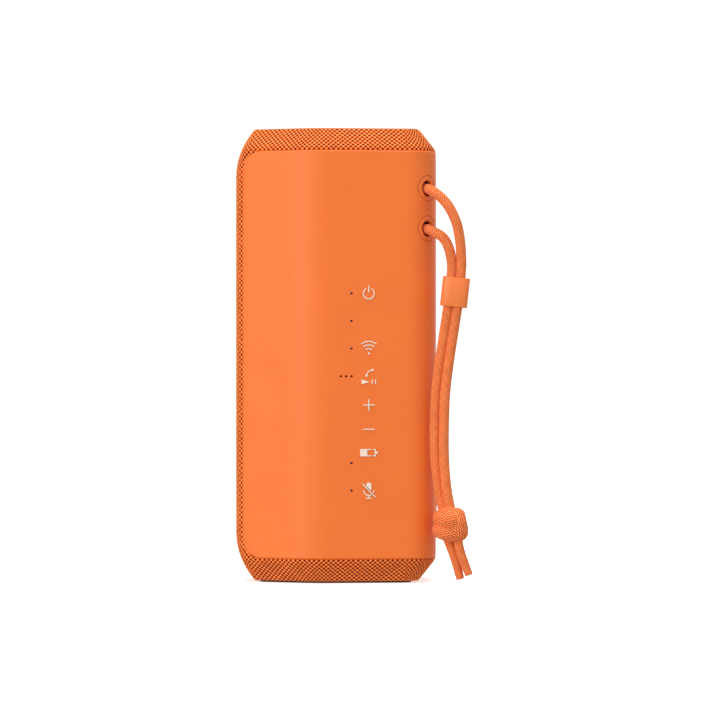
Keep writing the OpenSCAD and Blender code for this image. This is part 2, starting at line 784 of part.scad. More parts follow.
module screw_set(places, head_z, length)
    for (p = places) translate([p.x, p.y, 0]) {
        translate([0, 0, head_z]) cylinder(r = 1.6, h = 1);
        translate([0, 0, head_z - length]) cylinder(r = 0.85, h = length + 0.1);
    }

module driver_screws() color("silver")
    for (i = [0, 1]) at_driver(i) screw_set(driver_screw_at, driver_frame_t, 3.6);

module sound_diffuser() color("#303234")
    for (i = [0, 1]) at_driver(i) translate([0, 0, 5.5]) {
        for (y = [-1, 1]) translate([0, y * 26.6, -5.5]) cylinder(r = 1.4, h = 5.6);
        linear_extrude(1.4) {
            rounded_square(6, 56, 2.5);
            for (y = [-20, 20]) translate([0, y]) rounded_square(30, 2.6, 1.2);
        }
    }

// ---- passive radiators: children's +Z points out of the end ----
radiator_frame_t = 3;
radiator_screw_at = [
    for (x = [-1, 1], y = [-1, 1]) [x * 20.2, y * 22], for (x = [-1, 1]) [x * 24.4, 0]
];
module radiator_frame() color("#404246")
    difference() {
        linear_extrude(radiator_frame_t) race(26.4, radiator_s);
        translate([0, 0, -1]) linear_extrude(6) race(radiator_open, radiator_s);
        for (p = radiator_screw_at) translate([p.x, p.y, -5]) cylinder(r = 0.95, h = 10);
    }
module radiator_surround() color("#1f2022")
    translate([0, 0, radiator_frame_t + 0.05])
        race_ring(radiator_s)
            polygon([
                [22.6, 0], [20.9, 0],
                for (a = [0:20:180]) [18.8 + 1.9 * cos(a), 1.9 * sin(a)],
                [15, 0], [15, 0.45],
                for (a = [180:-20:0]) [18.8 + 2.35 * cos(a), 0.45 + 2.35 * sin(a)],
                [22.6, 0.45]
            ]);
module radiator_diaphragm() color("#4a4c50") {
    translate([0, 0, radiator_frame_t - 1.2]) linear_extrude(1.2) race(16.4, radiator_s);
    translate([0, 0, radiator_frame_t - 4]) linear_extrude(2.9) race(8, radiator_s);
}
module radiator_screws() color("silver")
    for (up = [-1, 1]) at_radiators(up) screw_set(radiator_screw_at, radiator_frame_t, 5);

// ---- power and electronics ----
holder_y = -6.6;
cell_r = 9.1;
cell_h = 65;
cell_at = [[2, 5], [22.5, 5]];
module battery_cells() color("royalblue")
    for (p = cell_at) translate([p.x, p.y, mid_z - cell_h / 2]) {
        cylinder(r = cell_r, h = cell_h);
        translate([0, 0, cell_h]) cylinder(r = 3, h = 1.2);
    }
module battery_holder() color("#303234")
    difference() {
        translate([-9.6, holder_y, mid_z - cell_h / 2 - 3]) cube([43.6, 21.8, cell_h + 7.4]);
        for (p = cell_at)
            translate([p.x, p.y, mid_z - cell_h / 2 - 0.2]) cylinder(r = cell_r + 0.25, h = cell_h + 1.8);
        translate([-20, -20, mid_z - 22]) cube([60, 26, 44]);
    }

board_y = 21.4;
module at_board_corners()
    for (x = [-12, 30], z = [-58, 58])
        translate([x, board_y, mid_z + z]) rotate([-90, 0, 0]) children();
module main_board() color("darkgreen")
    difference() {
        translate([-16, board_y, mid_z - 62]) cube([50, 1.6, 124]);
        at_board_corners() translate([0, 0, -1]) cylinder(r = 1.4, h = 4);
    }
module board_screws() color("silver")
    at_board_corners() {
        translate([0, 0, -1.1]) cylinder(r = 2.1, h = 1.1);
        cylinder(r = 0.85, h = 6);
    }
module board_parts() color("gray") {
    translate([-10, board_y - 2.6, mid_z + 28]) cube([22, 2.55, 26]);
    translate([20, board_y - 1.4, mid_z + 30]) cube([9, 1.35, 9]);
    translate([-8, board_y - 1.4, mid_z - 52]) cube([12, 1.35, 12]);
    for (i = [0:3]) translate([12 + i * 5.4, board_y - 5.6, mid_z - 54]) cylinder(r = 2.4, h = 0.01 + 8);
    for (z = [-40, 44]) translate([22, board_y + 1.65, mid_z + z]) cube([8, 3.6, 6]);
}

fabric_cover();
sleeve_frame();
color("saddlebrown") end_frame(1);  // top_end_frame
color("saddlebrown") end_frame(-1);  // bottom_end_frame
control_panel();
color("bisque") button(POWER);  // power_button
color("bisque") button(WIRELESS);  // wireless_button
color("bisque") button(PLAY);  // play_button
color("bisque") button(PLUS);  // volume_up_button
color("bisque") button(MINUS);  // volume_down_button
color("bisque") button(BATTERY);  // battery_button
color("bisque") button(MUTE);  // mic_mute_button
indicator_light_pipes();
mic_gasket();
key_board();
key_switches();
eyelet(0);  // upper_eyelet
eyelet(1);  // lower_eyelet
strap_anchor();
color("chocolate") tube(inner_route, cord_d);  // strap_cord_inner
color("chocolate") tube(upper_route, cord_d, 2);  // strap_cord_upper
color("chocolate") tube(lower_route, cord_d, 2);  // strap_cord_lower
strap_keeper();
strap_knot();
strap_tails();
port_bezel();
port_cap();
usb_socket();
port_board();
foot_ring();
side_feet();
front_baffle();
cabinet_gasket();
rear_cabinet();
cabinet_screws();
sound_diffuser();
at_driver(0) driver_frame();  // driver_frame_upper
at_driver(1) driver_frame();  // driver_frame_lower
at_driver(0) driver_motor();  // driver_motor_upper
at_driver(1) driver_motor();  // driver_motor_lower
at_driver(0) driver_cone();  // driver_cone_upper
at_driver(1) driver_cone();  // driver_cone_lower
at_driver(0) driver_surround();  // driver_surround_upper
at_driver(1) driver_surround();  // driver_surround_lower
at_driver(0) driver_spider();  // driver_spider_upper
at_driver(1) driver_spider();  // driver_spider_lower
driver_screws();
at_radiators(1) radiator_frame();  // radiator_frame_top
at_radiators(-1) radiator_frame();  // radiator_frame_bottom
at_radiators(1) radiator_surround();  // radiator_surround_top
at_radiators(-1) radiator_surround();  // radiator_surround_bottom
at_radiators(1) radiator_diaphragm();  // radiator_diaphragm_top
at_radiators(-1) radiator_diaphragm();  // radiator_diaphragm_bottom
radiator_screws();
battery_cells();
battery_holder();
main_board();
board_parts();
board_screws();
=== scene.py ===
"""Upright fabric-wrapped portable speaker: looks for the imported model. Lengths are worked out in
millimetres and written in metres. Heights named z are from the middle of the body."""
import bpy, bmesh, json, math
import numpy as np
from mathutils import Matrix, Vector
from mathutils.bvhtree import BVHTree
from mathutils.interpolate import poly_3d_calc


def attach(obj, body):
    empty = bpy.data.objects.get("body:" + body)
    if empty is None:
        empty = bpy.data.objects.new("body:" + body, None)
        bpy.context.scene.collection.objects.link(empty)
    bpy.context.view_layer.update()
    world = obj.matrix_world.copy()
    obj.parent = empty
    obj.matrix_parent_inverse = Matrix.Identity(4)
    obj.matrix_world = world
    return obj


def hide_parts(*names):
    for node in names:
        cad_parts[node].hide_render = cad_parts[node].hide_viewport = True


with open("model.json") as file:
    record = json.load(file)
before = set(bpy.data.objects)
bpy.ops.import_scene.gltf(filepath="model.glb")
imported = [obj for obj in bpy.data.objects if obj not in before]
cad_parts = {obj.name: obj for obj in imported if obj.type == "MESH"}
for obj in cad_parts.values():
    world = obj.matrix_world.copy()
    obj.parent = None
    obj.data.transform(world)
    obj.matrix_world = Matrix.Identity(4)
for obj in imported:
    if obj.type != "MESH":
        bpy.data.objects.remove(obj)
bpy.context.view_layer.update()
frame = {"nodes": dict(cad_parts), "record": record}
NODES = frame["nodes"]
MM = 0.001
ROOT = "speaker"

# ------------------------------------------------------------------ camera
cam_data = bpy.data.cameras.new("camera")
cam_data.lens = 217.8
cam_data.sensor_width = 36
cam_data.clip_end = 50
cam = bpy.data.objects.new("camera", cam_data)
cam.location = (0.00885, -2.0, 0.10476)
cam.rotation_euler = (math.radians(90), 0, 0)
bpy.context.scene.collection.objects.link(cam)
bpy.context.scene.camera = cam

# ------------------------------------------------------------------ body form, as in the CAD
MID = 104.9
HALF_H = 104.1
HALF_W = 46.45
BEVEL_H, BEVEL_IN = 9.4, 7.6
ROUND_H, ROUND_IN = 22.0, 8.5
ROUND_R = (ROUND_H**2 + ROUND_IN**2) / 2 / ROUND_IN
LEAN = math.cos(math.radians(4))
BEVEL_SOFT = 0.8
ALL_ROUND, ALL_BEVEL = 10, 62    # degrees away from the left side
# normal angle, distance of the tangent there from the axis, radius of the arc that follows
FLATS = [
    (-83, 36.34, 14.35),
    (-4, 180 + (HALF_W - 180) * LEAN, 180),
    (4, 180 + (HALF_W - 180) * LEAN, 16),
    (90, 36.5, 30),
    (116, 40, 9.6),
    (176, 150 + (HALF_W - 150) * LEAN, 150),
    (184, 150 + (HALF_W - 150) * LEAN, 9.6),
    (244, 39.15, 33.55),
]


def unit(deg):
    a = np.radians(deg)
    return np.array([np.cos(a), np.sin(a)])


def arc_centre(k):
    """Centre of the arc that touches this tangent and the next."""
    a, p, r = FLATS[k]
    b, q, _ = FLATS[(k + 1) % len(FLATS)]
    if k == len(FLATS) - 1:
        b += 360
    return np.linalg.solve([unit(a), unit(b)], [p - r, q - r])


CENTRES = [arc_centre(k) for k in range(len(FLATS))]


def build_section():
    """Rows of (length so far, normal angle, centre x, centre y, radius), twice round."""
    rows, length = [], 0.0
    for turn in (0, 360):
        for k, (a, _, r) in enumerate(FLATS):
            c = CENTRES[k]
            b = FLATS[k + 1][0] if k + 1 < len(FLATS) else FLATS[0][0] + 360
            if rows:
                _, a0, x0, y0, r0 = rows[-1]
                step = (c + r * unit(a)) - (np.array([x0, y0]) + r0 * unit(a0))
                length += float(np.hypot(*step))
            rows.append((length, a + turn, c[0], c[1], r))
            length += r * math.radians(b - a)
            rows.append((length, b + turn, c[0], c[1], r))
    return np.array(rows)


SEC = build_section()
ROUND_U = float(SEC[2 * len(FLATS), 0])


def at(u):
    """Normal angle, arc centre x and y, and arc radius at length u round the section."""
    return [np.interp(u, SEC[:, 0], SEC[:, j]) for j in (1, 2, 3, 4)]


def bevel_at(z):
    """How far the straight bevel draws in, softened where it starts."""
    d = np.abs(z) - HALF_H + BEVEL_H
    soft = 0.5 * (d + np.sqrt(d * d + BEVEL_SOFT))
    return soft / BEVEL_H * BEVEL_IN


def round_at(z):
    """How far the rounded end draws in."""
    h = np.maximum(0, np.abs(z) - HALF_H + ROUND_H)
    return ROUND_R - np.sqrt(ROUND_R**2 - h * h)


def draw_in(a, z):
    """How far the skin draws in towards the ends: rounded on the left, bevelled elsewhere."""
    t = np.clip((ALL_BEVEL - np.abs(a % 360 - 180)) / (ALL_BEVEL - ALL_ROUND), 0, 1)
    share = t * t * (3 - 2 * t)
    return bevel_at(z) + (round_at(z) - bevel_at(z)) * share


def skin(u, z, inset=0.0):
    """Point on the body's skin, drawn in by inset."""
    a, cx, cy, r = at(u)
    rr = r - inset - draw_in(a, z)
    return np.stack([cx + rr * np.cos(np.radians(a)), cy + rr * np.sin(np.radians(a)), z + 0 * u], -1)


# ------------------------------------------------------------------ node helpers
def srgb(r, g, b):
    f = lambda c: c / 12.92 if c <= 0.04045 else ((c + 0.055) / 1.055) ** 2.4
    return (f(r / 255), f(g / 255), f(b / 255), 1)


class Nodes:
    """Short names for building one material's node tree."""

    def __init__(self, name):
        self.mat = bpy.data.materials.new(name)
        self.mat.use_nodes = True
        self.tree = self.mat.node_tree
        self.bsdf = self.tree.nodes["Principled BSDF"]

    def new(self, kind, **sets):
        n = self.tree.nodes.new(kind)
        for k, v in sets.items():
            setattr(n, k, v)
        return n

    def link(self, a, b):
        self.tree.links.new(a, b)

    def put(self, socket, value):
        if isinstance(value, bpy.types.NodeSocket):
            self.link(value, socket)
        else:
            socket.default_value = value

    def math(self, op, a, b=0.0, c=0.0):
        n = self.new("ShaderNodeMath", operation=op)
        for s, v in zip(n.inputs, (a, b, c)):
            self.put(s, v)
        return n.outputs[0]

    def mix(self, fac, a, b, blend="MIX"):
        n = self.new("ShaderNodeMix", data_type="RGBA", blend_type=blend)
        self.put(n.inputs[0], fac)
        self.put(n.inputs[6], a)
        self.put(n.inputs[7], b)
        return n.outputs[2]

    def ramp(self, fac, lo, hi):
        n = self.new("ShaderNodeMapRange", interpolation_type="SMOOTHSTEP")
        self.put(n.inputs["Value"], fac)
        n.inputs["From Min"].default_value = lo
        n.inputs["From Max"].default_value = hi
        return n.outputs[0]

    def noise(self, scale, detail, vector=None):
        n = self.new("ShaderNodeTexNoise")
        n.inputs["Scale"].default_value = scale
        n.inputs["Detail"].default_value = detail
        if vector is None:
            vector = self.new("ShaderNodeTexCoord").outputs["Object"]
        self.link(vector, n.inputs["Vector"])
        return n.outputs[0]

    def bump(self, height, strength, distance):
        n = self.new("ShaderNodeBump")
        n.inputs["Strength"].default_value = strength
        n.inputs["Distance"].default_value = distance
        self.link(height, n.inputs["Height"])
        self.link(n.outputs[0], self.bsdf.inputs["Normal"])

    def set(self, **values):
        for k, v in values.items():
            self.put(self.bsdf.inputs[k.replace("_", " ")], v)


def moulded(name, colour, rough=0.45, grain=0.25, vary=0.06, scale=2500, **more):
    """Moulded plastic or rubber: faint colour variation, fine spark-eroded grain."""
    n = Nodes(name)
    big = n.noise(45, 2)
    dark = tuple(c * (1 - 2 * vary) for c in colour[:3]) + (1,)
    n.set(Base_Color=n.mix(n.ramp(big, 0.3, 0.7), dark, colour))
    fine = n.noise(scale, 2)
    n.set(Roughness=n.math("MULTIPLY_ADD", fine, 0.18, rough - 0.09))
    n.bump(fine, grain, 0.00008)
    for k, v in more.items():
        n.bsdf.inputs[k.replace("_", " ")].default_value = v
    return n.mat


def metal(name, colour, rough=0.3):
    n = Nodes(name)
    streak = n.noise(900, 4)
    n.set(Base_Color=n.mix(streak, tuple(c * 0.8 for c in colour[:3]) + (1,), colour), Metallic=1.0)
    n.set(Roughness=n.math("MULTIPLY_ADD", streak, 0.2, rough - 0.1))
    n.bump(streak, 0.15, 0.00005)
    return n.mat


# yarn colours: body, painted highlight on the crown, painted shade on the flank, and painted shade seen
# between the yarns
YARN = srgb(255, 108, 24)
CROWN_HIGHLIGHT = srgb(255, 190, 110)
FLANK_SHADE = srgb(190, 40, 20)
GAP_SHADE = srgb(50, 2, 20)
WIDE = 0.275      # half a yarn's width, in yarn pitches


def woven(name, yarn=YARN, crown_highlight=CROWN_HIGHLIGHT, flank_shade=FLANK_SHADE, gap_shade=GAP_SHADE, wide=WIDE):
    """Plain weave from the "weave" attribute: whole numbers are yarn centres, both ways."""
    n = Nodes(name)
    sep = n.new("ShaderNodeSeparateXYZ")
    att = n.new("ShaderNodeAttribute", attribute_name="weave")
    n.link(att.outputs["Vector"], sep.inputs[0])
    a, b = sep.outputs[0], sep.outputs[1]
    i, j = n.math("ROUND", a), n.math("ROUND", b)
    da, db = n.math("SUBTRACT", a, i), n.math("SUBTRACT", b, j)
    odd = n.math("ABSOLUTE", n.math("MODULO", n.math("ADD", i, j), 2.0))
    sign = n.math("MULTIPLY_ADD", odd, -2.0, 1.0)

    def run(across, along, s):
        t = n.math("DIVIDE", across, wide)
        prof = n.math("SQRT", n.math("MAXIMUM", n.math("SUBTRACT", 1.0, n.math("MULTIPLY", t, t)), 0.0))
        lift = n.math("MULTIPLY", n.math("COSINE", n.math("MULTIPLY", along, math.pi)), s)
        inside = n.math("LESS_THAN", n.math("ABSOLUTE", across), wide)
        h = n.math("ADD", n.math("MULTIPLY", lift, 0.32), n.math("MULTIPLY", prof, 0.55))
        return n.math("MULTIPLY_ADD", n.math("ADD", h, 0.6), inside, -0.6)

    warp, weft = run(da, db, sign), run(db, da, n.math("MULTIPLY", sign, -1.0))
    h = n.math("MAXIMUM", warp, weft)
    which = n.math("GREATER_THAN", warp, weft)
    # filaments run along the yarn that is on top
    twist = n.new("ShaderNodeCombineXYZ")
    along = n.math("ADD", n.math("MULTIPLY", which, a), n.math("MULTIPLY", n.math("SUBTRACT", 1.0, which), b))
    cross = n.math("ADD", n.math("MULTIPLY", which, b), n.math("MULTIPLY", n.math("SUBTRACT", 1.0, which), a))
    n.link(n.math("MULTIPLY", along, 7.0), twist.inputs[0])
    n.link(n.math("MULTIPLY", cross, 1.6), twist.inputs[1])
    n.link(n.math("MULTIPLY", which, 9.0), twist.inputs[2])
    fibre = n.noise(1.0, 3, twist.outputs[0])
    cell = n.new("ShaderNodeTexWhiteNoise", noise_dimensions="3D")
    ids = n.new("ShaderNodeCombineXYZ")
    n.link(n.math("MULTIPLY", i, which), ids.inputs[0])
    n.link(n.math("MULTIPLY", j, n.math("SUBTRACT", 1.0, which)), ids.inputs[1])
    n.link(which, ids.inputs[2])
    n.link(ids.outputs[0], cell.inputs["Vector"])
    # painted shade and highlight: darker down the yarns' flanks, lighter on their crowns
    col = n.mix(n.ramp(h, 0.05, 0.6), flank_shade, yarn)
    col = n.mix(n.ramp(n.math("ADD", h, n.math("MULTIPLY", fibre, 0.35)), 0.75, 1.1), col, crown_highlight)
    tone = n.math("MULTIPLY_ADD", cell.outputs["Value"], 0.22, 0.86)
    tone = n.math("MULTIPLY", tone, n.math("MULTIPLY_ADD", fibre, 0.4, 0.8))
    shade = n.new("ShaderNodeCombineColor")
    for s in shade.inputs:
        n.link(tone, s)
    col = n.mix(1.0, col, shade.outputs[0], "MULTIPLY")
    # painted shade: a dark colour between the yarns, where the weave dips
    n.set(Base_Color=n.mix(n.ramp(h, -0.5, -0.2), gap_shade, col), Roughness=0.72)
    n.bsdf.inputs["Sheen Weight"].default_value = 0.1
    n.bsdf.inputs["Sheen Roughness"].default_value = 0.4
    n.bsdf.inputs["Specular IOR Level"].default_value = 0.12
    n.bump(n.math("MULTIPLY_ADD", fibre, 0.25, h), 0.6, 0.0002)
    return n.mat


# ------------------------------------------------------------------ mesh helpers
def make(name, verts, faces, mat, weave=None, body=ROOT):
    """A smooth mesh object from vertices in millimetres (z from the floor), riding on body.
    weave is a list of yarn positions, one for each vertex or one for each corner of a face."""
    me = bpy.data.meshes.new(name)
    me.from_pydata([tuple(v) for v in np.asarray(verts) * MM], [], [tuple(f) for f in faces])
    if weave is not None:
        w = me.attributes.new("weave", "FLOAT_VECTOR", "POINT" if len(weave) == len(verts) else "CORNER")
        w.data.foreach_set("vector", np.asarray(weave, dtype=np.float32).ravel())
    me.update()
    me.validate()
    me.shade_smooth()
    me.materials.append(mat)
    o = bpy.data.objects.new(name, me)
    bpy.context.scene.collection.objects.link(o)
    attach(o, body)
    return o


WEAVE_DEPTH = 0.65


def weave_height(a, b, wide=0.38):
    """Height of a plain weave, 0 at the yarns' crowns. wide is half a yarn's width, in pitches."""
    i, j = np.round(a), np.round(b)
    da, db = a - i, b - j
    s = 1 - 2 * (np.abs(i + j) % 2)

    def run(across, along, sign):
        prof = np.sqrt(np.maximum(0, 1 - (across / wide) ** 2))
        body = 0.15 * sign * np.cos(math.pi * along) + 0.35 * prof
        return np.where(np.abs(across) < wide, body, -1.0)

    h = np.maximum(run(da, db, s), run(db, da, -s))
    return np.maximum(h - 0.5, -WEAVE_DEPTH)


# distance along the skin between crossings in a row, fitted so that whole ones go round the body
PITCH = 2.28
LATTICE = ROUND_U / round(ROUND_U / PITCH)


def diamonds(u_count, rows, closed):
    """Quads of a lattice of staggered rows with u_count points in each."""
    k = np.arange(rows - 2)[:, None]
    m = np.arange(u_count)[None, :]
    odd = k % 2
    right = m + odd
    left = m - 1 + odd
    if closed:
        right, left = right % u_count, left % u_count
    ok = (right < u_count) & (left >= 0)
    f = np.stack(np.broadcast_arrays(
        k * u_count + m, (k + 1) * u_count + right, (k + 2) * u_count + m, (k + 1) * u_count + left), -1)
    return f[np.broadcast_to(ok, f.shape[:2])]


def compact(verts, faces, weave):
    """The same mesh without the vertices that no face uses."""
    used = np.unique(faces)
    new = np.zeros(len(verts), int)
    new[used] = np.arange(len(used))
    return verts[used], new[faces], weave[used]


# ------------------------------------------------------------------ woven cover
PANEL_X, PANEL_Y = -42.9, -14.0
PANEL_TOP = 93.5
CORNER_X, CORNER_Y = 8.5, 5.0


def in_panel(x, y, z, m):
    """True where the skin lies under the control panel, by more than m."""
    h = np.abs(z)
    near = (y < PANEL_Y - m) & (x > PANEL_X + m) & (h < PANEL_TOP - m)
    cx, cz = PANEL_X + CORNER_X, PANEL_TOP - CORNER_X
    cut = (x < cx) & (h > cz) & (np.hypot(x - cx, h - cz) > CORNER_X - m)
    cy, cz2 = PANEL_Y - CORNER_Y, PANEL_TOP - CORNER_Y
    cut |= (x > 20) & (y > cy) & (h > cz2) & (np.hypot(y - cy, h - cz2) > CORNER_Y - m)
    return near & ~cut


PORT_Z, PORT_W, PORT_H = -60.0, 15.0, 30.0
FOOT_X, FOOT_R, FOOT_HALF = (-17.0, 27.0), 3.5, 60.0


def in_trim(x, y, z):
    """True under the port's bezel and under the side feet."""
    port = (x > 40) & (np.abs(y) < PORT_W / 2 - 0.3) & (np.abs(z - PORT_Z) < PORT_H / 2 - 0.3)
    foot = np.zeros_like(port)
    for fx in FOOT_X:
        foot |= (y > 30) & (np.hypot(x - fx, np.maximum(0, np.abs(z) - FOOT_HALF)) < FOOT_R - 0.8)
    return port | foot


RIM_Z = 103.45
YARN_LIFT = 0.12     # the crowns stand this far above the CAD skin
TUCK = 0.55          # and dip this far at the panel's edge, to go under it
UNDER_PANEL = 1.1    # the fabric goes on this far inside the panel's outline
ROLL = 3.6           # length past the rim, over the edge of the end
END_INSET = 1.9      # the end's own sheet starts this far inside the rim


def meridian(v):
    """(height, extra draw-in) at signed length v up the wall, over the rim and onto the end."""
    s = np.abs(v)
    start = HALF_H - BEVEL_H
    slope = math.hypot(BEVEL_H, BEVEL_IN) / BEVEL_H
    lean = math.atan2(BEVEL_IN, BEVEL_H)
    s_rim = start + (RIM_Z - start) * slope
    z = np.where(s < start, s, start + (np.minimum(s, s_rim) - start) / slope)
    t = np.linspace(0, 4, 401)
    th = np.interp(t, [0, 1.3, 2.1, 2.6, 4], [lean, math.pi / 2, math.pi / 2, 2.2, 2.4])
    dz = np.concatenate([[0], np.cumsum(np.cos(th[:-1])) * 0.01])
    di = np.concatenate([[0], np.cumsum(np.sin(th[:-1])) * 0.01])
    over = np.clip(s - s_rim, 0, 4)
    rise = np.interp(over, t, dz)
    return np.sign(v) * (z + rise), np.sign(v) * z, np.interp(over, t, di), s_rim


def wall_point(u, v):
    """Point on the skin, u round the body and v up it."""
    z, z_body, extra, _ = meridian(v)
    p = skin(u, z_body, extra)
    p[..., 2] = z
    return p


def along_normal(point, u, v, amount):
    """Points of a surface moved out along its normal."""
    d = 0.05
    du = point(u + d, v) - point(u - d, v)
    dv = point(u, v + d) - point(u, v - d)
    n = np.cross(du, dv)
    n /= np.linalg.norm(n, axis=-1, keepdims=True) + 1e-12
    return point(u, v) + n * amount[..., None]


fabric_mat = woven("woven_cover")


def cover_wall():
    """The four quarters of the wall, with both bevels and the roll over each end's edge."""
    cols = int(round(ROUND_U / LATTICE * 4))
    reach = meridian(np.array([0.0]))[3] + ROLL
    half_rows = 2 * int(reach / (LATTICE / 4))
    rows = 2 * half_rows + 1
    k = np.arange(rows) - half_rows
    v = np.repeat(k * LATTICE / 8, cols)
    m = np.tile(np.arange(cols), rows)
    u = (m + 0.5 * (np.repeat(np.arange(rows) % 2, cols))) * LATTICE / 4
    a, b = (u + v) / LATTICE, (v - u) / LATTICE
    uu = np.where(u < 1, u + ROUND_U, u)
    x, y, z = wall_point(uu, v).T
    tuck = sum(in_panel(x, y, z, -m) for m in (0.2, 0.5, 0.8, 1.1, 1.4)) / 5
    p = along_normal(wall_point, uu, v, YARN_LIFT + weave_height(a, b) - TUCK * tuck)
    keep = ~in_panel(x, y, z, UNDER_PANEL) & ~in_trim(x, y, z)
    faces = diamonds(cols, rows, True)
    ok = keep[faces].any(axis=1)
    p[:, 2] += MID
    weave = np.stack([a, b, np.zeros_like(a)], -1)
    quarter = (np.mod(u[faces[:, 0]], ROUND_U) / ROUND_U * 4).astype(int)
    for q in range(4):
        vv, ff, ww = compact(p, faces[ok & (quarter == q)], weave)
        o = make(f"woven_side_{q}", vv, ff, fabric_mat, ww)
        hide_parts("fabric_cover")


def cover_end(name, side):
    """The flat of one end, out to the rim. side is 1 at the top and -1 at the bottom."""
    n = 100
    k = np.arange(2 * n)
    y = np.repeat((k - n) * LATTICE / 8, 2 * n)
    x = (np.tile(k - n, 2 * n) + 0.5 * np.repeat(k % 2, 2 * n)) * LATTICE / 4
    u = np.linspace(0, ROUND_U, 400, endpoint=False)
    rim = skin(u, np.full_like(u, side * RIM_Z), END_INSET)[:, :2]
    angle = np.arctan2(rim[:, 1], rim[:, 0])
    order = np.argsort(angle)
    reach = np.hypot(rim[:, 0], rim[:, 1])[order]
    inside = np.hypot(x, y) < np.interp(np.arctan2(y, x), angle[order], reach, period=2 * math.pi)
    a, b = (x + y) / LATTICE, (y - x) / LATTICE
    top = HALF_H - 0.05 + weave_height(a, b)
    faces = diamonds(2 * n, 2 * n, False)
    faces = faces[inside[faces].all(axis=1)]
    if side < 0:
        faces = faces[:, ::-1]
    vv, ff, ww = compact(np.stack([x, y, MID + side * top], -1), faces, np.stack([a, b, 0 * a], -1))
    o = make(name, vv, ff, fabric_mat, ww)
    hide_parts("fabric_cover")


cover_wall()
cover_end("woven_top", 1)
cover_end("woven_bottom", -1)


# ------------------------------------------------------------------ control panel
SKIN_RISE = 0.38    # the panel stands this far above the skin
RIM_R = 0.65        # radius of its edge
PANEL_BACK = 1.8    # its back lies this far below the skin


def u_where(axis, value, low, high):
    """Length round the section, in the panel's stretch, where a coordinate has a value."""
    u = np.linspace(low, high, 4000)
    a, cx, cy, r = at(u)
    rr = r + SKIN_RISE
    c = (cx + rr * np.cos(np.radians(a))) if axis == 0 else (cy + rr * np.sin(np.radians(a)))
    return np.interp(value, c, u)


U_LEFT = float(np.interp(225, SEC[:, 1], SEC[:, 0]))
U_RIGHT = float(np.interp(359.5, SEC[:, 1], SEC[:, 0]))


def panel_grid(m, inset, zs, cols):
    """Rows of points of the panel's outline drawn in by m, at one inset from the skin."""
    z = zs * (PANEL_TOP - m) / PANEL_TOP
    h = np.abs(z)
    cz = PANEL_TOP - CORNER_X
    left = np.where(h <= cz, PANEL_X + m, PANEL_X + CORNER_X
                    - np.sqrt(np.maximum(0, (CORNER_X - m) ** 2 - np.maximum(0, h - cz) ** 2)))
    cz = PANEL_TOP - CORNER_Y
    right = np.where(h <= cz, PANEL_Y - m, PANEL_Y - CORNER_Y
                     + np.sqrt(np.maximum(0, (CORNER_Y - m) ** 2 - np.maximum(0, h - cz) ** 2)))
    ul = u_where(0, left, U_LEFT, U_LEFT + 30)
    ur = u_where(1, right, U_RIGHT - 30, U_RIGHT)
    t = np.linspace(0, 1, cols)[None, :]
    u = ul[:, None] * (1 - t) + ur[:, None] * t
    zz = np.broadcast_to(z[:, None], u.shape)
    a, cx, cy, r = at(u)
    rr = r - inset
    return np.stack([cx + rr * np.cos(np.radians(a)), cy + rr * np.sin(np.radians(a)), zz + MID], -1)


def panel_envelope():
    """Closed solid with the panel's outline and a rounded rim, in millimetres."""
    phi = np.radians(np.linspace(0, 90, 16))
    half = np.concatenate([np.linspace(0, 80, 9), 85 + 8.5 * np.sin(phi)])
    zs = np.concatenate([-half[:0:-1], half])
    cols = 96
    rows = len(zs)
    rings = [(RIM_R * (1 - math.cos(t)), RIM_R * (1 - math.sin(t))) for t in
             np.radians([90, 72, 54, 36, 18, 0])]
    loop = ([(i, 0) for i in range(rows)] + [(rows - 1, j) for j in range(1, cols)]
            + [(i, cols - 1) for i in range(rows - 2, -1, -1)] + [(0, j) for j in range(cols - 2, 0, -1)])
    top = panel_grid(rings[0][0], -SKIN_RISE, zs, cols)
    back = panel_grid(0.02, PANEL_BACK, zs, cols)
    verts = [top.reshape(-1, 3), back.reshape(-1, 3)]
    ix = lambda i, j: i * cols + j
    off = rows * cols
    faces = []
    for i in range(rows - 1):
        for j in range(cols - 1):
            faces.append((ix(i, j), ix(i, j + 1), ix(i + 1, j + 1), ix(i + 1, j)))
            faces.append(tuple(off + k for k in (ix(i, j), ix(i + 1, j), ix(i + 1, j + 1), ix(i, j + 1))))
    n = len(loop)
    last = [ix(i, j) for i, j in loop]
    base = 2 * off
    for m, drop in rings[1:]:
        g = panel_grid(m, drop - SKIN_RISE, zs, cols)
        verts.append(np.array([g[i, j] for i, j in loop]))
        cur = [base + k for k in range(n)]
        for k in range(n):
            k2 = (k + 1) % n
            faces.append((last[k], last[k2], cur[k2], cur[k]))
        last, base = cur, base + n
    low = [off + ix(i, j) for i, j in loop]
    for k in range(n):
        k2 = (k + 1) % n
        faces.append((last[k], last[k2], low[k2], low[k]))
    return np.concatenate(verts), faces


panel_mat = moulded("panel_plastic", (0.945, 0.201, 0.035, 1), rough=0.43, grain=0.3, vary=0.012,
                    scale=3500, Specular_IOR_Level=0.28)


def follow_normals(me, ref):
    """Shade me's faces that lie on ref with ref's own smooth normals, and the rest flat."""
    tree = BVHTree.FromPolygons([v.co for v in ref.vertices], [tuple(f.vertices) for f in ref.polygons])
    out = [None] * len(me.loops)
    for face in me.polygons:
        _, n, k, d = tree.find_nearest(face.center)
        on = d < 2e-5 and n.dot(face.normal) > 0.9
        ids = ref.polygons[k].vertices
        corner = [ref.vertices[i].co for i in ids]
        for loop in face.loop_indices:
            out[loop] = tuple(face.normal)
            if on:
                share = poly_3d_calc(corner, me.vertices[me.loops[loop].vertex_index].co)
                blend = sum((ref.vertices[i].normal * w for i, w in zip(ids, share)), Vector())
                out[loop] = tuple(blend.normalized())
    me.normals_split_custom_set(out)


